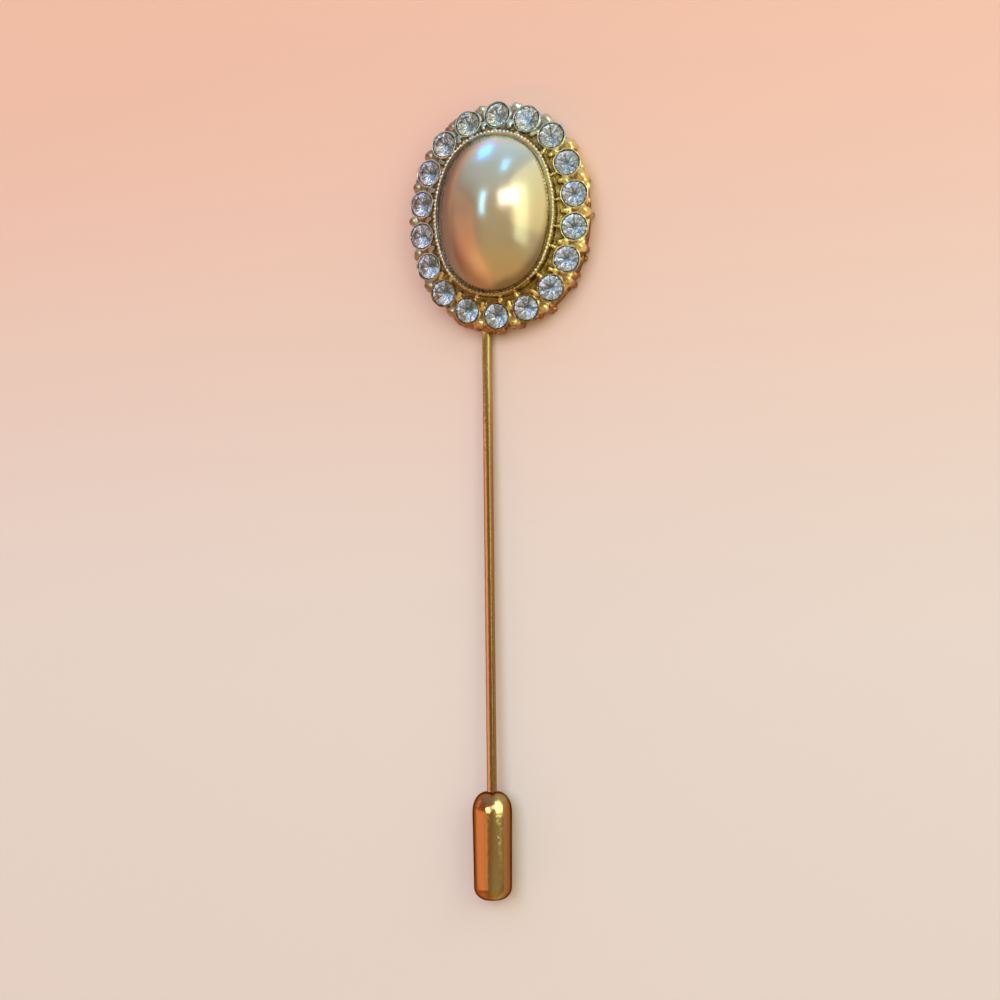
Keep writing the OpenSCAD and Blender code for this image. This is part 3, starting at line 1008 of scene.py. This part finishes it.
def colletPosts():
    radius, rim, foot = colletForm["radius"], colletForm["rim"], colletForm["foot"]
    low = -ring["height"] - radius
    outline = [(0, low), (foot, low), colletForm["waist"], (radius, rim), (0, rim)]
    return [lathe("post", outline, ringFrame(step), colletForm["sides"]) for step in range(ring["count"])]


def seatCutters():  # the pearl's well and the stones' seats
    gap, ledge, edge = seatForm["pearlGap"], seatForm["ledge"], seatForm["radius"]
    cutters = [prism("well", gap, seatForm["floor"], seatForm["wellTop"], gap)]
    clear = seatForm["clear"]
    outline = [(0, -ledge - seatForm["depth"]), (edge, -ledge), (edge, clear), (0, clear)]
    cutters += [lathe("seat", outline, ringFrame(step), seatForm["sides"]) for step in range(ring["count"])]
    return joinObjects("cutters", cutters)


def backCutter(size=40):  # a block whose top is the flat back
    work = bmesh.new()
    bmesh.ops.create_cube(work, size=size)
    bmesh.ops.translate(work, verts=work.verts, vec=(0, 0, -size / 2))
    mesh = bpy.data.meshes.new("backCutter")
    work.to_mesh(mesh)
    work.free()
    return newObject("backCutter", mesh)


def modified(obj, name, kind, **settings):  # the object as one modifier leaves it
    modifier = obj.modifiers.new(kind, kind)
    for key, value in settings.items():
        setattr(modifier, key, value)
    return applied(obj, name)


def carve(obj, cutter, name):
    result = modified(obj, name, "BOOLEAN", operation="DIFFERENCE", solver="MANIFOLD", object=cutter)
    dropObject(cutter)
    return result


def shake(obj, size, depth, above=-1):  # an uneven surface, above the given height
    mesh = obj.data
    mesh.update()
    normals = [v.normal.copy() for v in mesh.vertices]
    for vertex, normal in zip(mesh.vertices, normals):
        if vertex.co.z < above:
            continue
        value = noise.noise(vertex.co / size) + 0.5 * noise.noise(vertex.co / size * 2.3)
        vertex.co += normal * depth * value
    mesh.update()


def pointRows(mesh, label):  # three numbers for every point
    values = np.empty(len(mesh.vertices) * 3, np.float32)
    mesh.vertices.foreach_get(label, values)
    return values.reshape(-1, 3).astype(float)


def markHollows(obj, rounds, reach):  # stores how deep each point lies below its surroundings, which sets the patina and painted shade in the hollows
    mesh = obj.data
    count = len(mesh.vertices)
    place, normal = pointRows(mesh, "co"), pointRows(mesh, "normal")
    edges = np.empty(len(mesh.edges) * 2, np.int32)
    mesh.edges.foreach_get("vertices", edges)
    a, b = edges.reshape(-1, 2).T
    links = np.bincount(a, minlength=count) + np.bincount(b, minlength=count)
    soft = place.copy()
    for _ in range(rounds):
        sums = [np.bincount(a, soft[b, i], count) + np.bincount(b, soft[a, i], count) for i in range(3)]
        soft = np.stack(sums, 1) / np.maximum(links, 1)[:, None]
    depth = np.einsum("ij,ij->i", soft - place, normal)
    value = np.clip(0.5 + depth / (2 * reach), 0, 1).astype(np.float32)
    store(mesh, "hollow", "FLOAT", "POINT", value)


def castHead():
    low, out = -headForm["buried"], headForm["bezelOut"]
    parts = [prism("plate", headForm["plateFoot"], low, headForm["plateTop"], headForm["plateOut"])]
    parts.append(prism("wall", out, low, headForm["bezelTop"], out))
    parts += wallRibs() + colletPosts()
    parts.append(lumps("grains", grainPlaces()))
    raw = joinObjects("castParts", parts)
    sizes = {"mode": "VOXEL", "voxel_size": headForm["voxel"], "use_smooth_shade": True}
    body = modified(raw, "castBody", "REMESH", **sizes)
    shake(body, **headForm["waves"])
    body = carve(body, backCutter(), "castBody")
    body = carve(body, seatCutters(), "castHead")
    markHollows(body, **headForm["hollows"])
    coat(body, goldCast)
    finishPiece(body, "pin", "gold_metal", "setting_and_stem")


castHead()
print("head cast")


# Thin bright edges on the head

bandForm = {
    "start": 0.06,
    "middle": 0.72,  # the lip's usual width, as a share of its profile's
    "right": 0.28,
    "top": 0.08,
    "outline": [  # offset, height, and how much painted shade it takes, darkest at its foot by the pearl
        (0.06, 2.4, 1.0),
        (0.06, 3.39, 1.0),
        (0.09, 3.45, 0.9),
        (0.16, 3.50, 0.6),
        (0.26, 3.55, 0.5),
        (0.34, 3.59, 0.45),
        (0.41, 3.62, 0.3),
        (0.46, 3.61, 0.0),
        (0.49, 3.57, 0.0),
        (0.5, 3.4, 0.0),
        (0.46, 2.0, 0.0),
    ],
    "waves": {"size": 0.8, "depth": 0.025, "above": 3.2},
    "sides": 240,
}
beadForm = {
    "pitch": 0.37,
    "radius": 0.16,
    "uneven": (0.8, 1.12),
    "offset": 0.44,
    "height": 3.61,
    "grain": 3.0,  # scale of the noise that moves the points
    "depth": 0.12,
    "seed": 3,
}
rimForm = {
    "radius": 1.23,
    "width": 0.045,
    "lift": 0.04,
    "grain": 1.1,
    "depth": 0.28,
    "sides": 40,
    "facets": 10,
}


def lipPlace(share, offset):  # the hand-pressed lip is widest on the right and narrowest on the left
    angle = ovalPlace(share, 0)[2]
    width = bandForm["middle"] + bandForm["right"] * math.cos(angle) + bandForm["top"] * math.sin(angle)
    return ovalPlace(share, bandForm["start"] + (offset - bandForm["start"]) * width)[:2]


def beadLine():
    count = bandForm["sides"]
    curve = bpy.data.curves.new("beadLine", "CURVE")
    curve.dimensions = "3D"
    line = curve.splines.new("POLY")
    line.points.add(count - 1)
    for i, point in enumerate(line.points):
        point.co = (*lipPlace(i / count, beadForm["offset"]), beadForm["height"], 1)
    line.use_cyclic_u = True
    return newObject("beadLine", curve)


def beadRow():  # tiny beads pressed along the rim of the bezel
    sizes = {
        "Pitch": beadForm["pitch"],
        "Radius": beadForm["radius"],
        "Depth": beadForm["depth"],
        "Seed": beadForm["seed"],
    }
    tree, start, end = newTree("beadRow", sizes)
    sockets = {"Curve": start.outputs["Geometry"], "Length": start.outputs["Pitch"]}
    walk = addNode(tree, "GeometryNodeResampleCurve", sockets, mode="LENGTH")
    sockets = {"Subdivisions": 2, "Radius": start.outputs["Radius"]}
    ball = addNode(tree, "GeometryNodeMeshIcoSphere", sockets)
    uneven = randomNumber(tree, *beadForm["uneven"], start.outputs["Seed"])
    sockets = {"Points": walk.outputs["Curve"], "Instance": ball.outputs["Mesh"], "Scale": uneven}
    copies = addNode(tree, "GeometryNodeInstanceOnPoints", sockets).outputs["Instances"]
    closeTree(tree, end, roughen(tree, copies, beadForm["grain"], start.outputs["Depth"]), goldRim)
    obj = runTree(beadLine(), tree, sizes, "beads")
    obj.data.shade_smooth()
    finishPiece(obj, "pin", "gold_metal", "setting_and_stem")


def bezelBand():  # the smooth lip of the bezel, rising outwards to its bright edge
    outline, count = bandForm["outline"], bandForm["sides"]
    rows = [[(*lipPlace(i / count, offset), z) for i in range(count)] for offset, z, _ in outline]
    obj = loft("bezelBand", rows, wrap=True)
    # the third column sets the painted shade on the slope
    store(obj.data, "hollow", "FLOAT", "POINT", [place[2] for place in outline for _ in range(count)])
    shake(obj, **bandForm["waves"])
    coat(obj, goldRim)
    finishPiece(obj, "pin", "gold_metal", "setting_and_stem")


def colletRims():  # the thin burnished edge over each stone
    sizes = {"Radius": rimForm["radius"], "Width": rimForm["width"], "Depth": rimForm["depth"]}
    tree, start, end = newTree("colletRims", sizes)
    sockets = {"Resolution": rimForm["sides"], "Radius": start.outputs["Radius"]}
    path = addNode(tree, "GeometryNodeCurvePrimitiveCircle", sockets)
    sockets = {"Resolution": rimForm["facets"], "Radius": start.outputs["Width"]}
    profile = addNode(tree, "GeometryNodeCurvePrimitiveCircle", sockets)
    sockets = {"Curve": path.outputs["Curve"], "Profile Curve": profile.outputs["Curve"]}
    tube = addNode(tree, "GeometryNodeCurveToMesh", sockets)
    copies = copiesOnPoints(tree, start.outputs["Geometry"], tube.outputs["Mesh"])
    closeTree(tree, end, roughen(tree, copies, rimForm["grain"], start.outputs["Depth"]), goldRim)
    host = pointsObject("rimPoints", ringPlaces(rimForm["lift"]))
    obj = runTree(host, tree, sizes, "colletRims")
    obj.data.shade_smooth()
    finishPiece(obj, "pin", "gold_metal", "setting_and_stem")


beadRow()
bezelBand()
colletRims()
print("bright edges ready")


# Stem and cap

stemForm = {
    "side": 1.72,
    "root": 6.0,
    "lift": 0.12,
    "radius": 0.45,
    "fillet": [(0.45, 2.6), (0.62, 2.9), (0.6, 3.3), (0.5, 4.2), (0.455, 5.0)],  # radius and place along it
    "ringStart": 5.6,
    "ringStep": 0.8,
    "length": 54.8,
    "point": 3.0,
    "tip": 0.08,
    "tipEnd": 0.05,
    "taperLead": 0.3,  # the slight taper starts this far before the cap
    "taperLess": 0.03,
    "capCover": 8.6,
    "waves": {"size": 2.0, "depth": 0.006},
    "sides": 48,
}
capForm = {
    "openRadius": 1.79,
    "closedRadius": 1.715,
    "shoulder": 1.2,  # how far the shoulder curves inwards
    "shoulderLength": 1.75,  # and how far along the cap it reaches
    "length": 9.65,
    "closedRound": 1.15,
    "bore": [(0, 8.9), (0.5, 8.8), (0.5, 0.25), (0.56, 0.08), (0.64, 0.01)],  # from its bottom to its mouth
    "mouthEdge": 0.68,
    "waves": {"size": 1.6, "depth": 0.012},
    "sides": 96,
}


def stemAxes():  # along the wire from its root, with Z towards the tip
    direction = Vector(frame["joints"][0]["axis"]).normalized()
    root = Vector((-stemForm["side"], -stemForm["root"], stemForm["lift"] + stemForm["radius"]))
    side = Vector((0, 0, 1)).cross(direction).normalized()
    face = direction.cross(side)
    axes = Matrix((side, face, direction)).transposed().to_4x4()
    return Matrix.Translation(root) @ axes


def stemWire():
    r, length = stemForm["radius"], stemForm["length"]
    tip, tipEnd = stemForm["tip"], stemForm["tipEnd"]
    taperStart = length - stemForm["capCover"] - stemForm["taperLead"]
    outline = [(0, 0), (r, 0), *stemForm["fillet"]]
    outline += [(r, s) for s in np.arange(stemForm["ringStart"], taperStart, stemForm["ringStep"])]
    outline += [(r, taperStart), (r - stemForm["taperLess"], length - stemForm["point"])]
    outline += [(tip, length - tipEnd), (tipEnd, length), (0, length)]
    obj = lathe("stemWire", outline, stemAxes(), stemForm["sides"])
    shake(obj, **stemForm["waves"])
    coat(obj, goldWire)
    finishPiece(obj, "pin", "gold_metal", "setting_and_stem")


def arcPoints(centre, radius, start, stop, length, steps=16):  # radius across and length along the axis
    result = []
    for i in range(steps + 1):
        angle = start + (stop - start) * i / steps
        result.append((centre[0] + radius * math.cos(angle), centre[1] + length * math.sin(angle)))
    return result


def guardCap():
    top, low = capForm["openRadius"], capForm["closedRadius"]
    shoulder, reach = capForm["shoulder"], capForm["shoulderLength"]
    closed, length = capForm["closedRound"], capForm["length"]
    arc = arcPoints((top - shoulder, reach), shoulder, -math.pi / 2, 0, reach)
    outline = capForm["bore"] + [place for place in arc if place[0] > capForm["mouthEdge"]]
    for k in range(1, 10):
        outline.append((top + (low - top) * k / 10, reach + (length - closed - reach) * k / 10))
    outline += arcPoints((low - closed, length - closed), closed, 0, math.pi / 2, closed)
    outline.append((0, length))
    axes = stemAxes() @ Matrix.Translation((0, 0, stemForm["length"] - stemForm["capCover"]))
    obj = lathe("guardCap", outline, axes, capForm["sides"])
    shake(obj, **capForm["waves"])
    coat(obj, goldCap)
    finishPiece(obj, "cap", "cap_metal", "cap")


stemWire()
guardCap()
print("stem and cap ready")

lightOnly(["coolStrip", "coolLow", "coolHigh"], ["pearlDome", "stones"])
lightOnly(["besideCap", "shoulderSpot", "shoulderGlow", "shoulderCorner"], ["guardCap"])
lightOnly(["besideStem"], ["stemWire"])
lightOnly(["besideHead"], ["castHead"])
lightOnly(["aboveRim"], ["bezelBand", "beads"])
lightOnly(["besideRim"], ["bezelBand"])
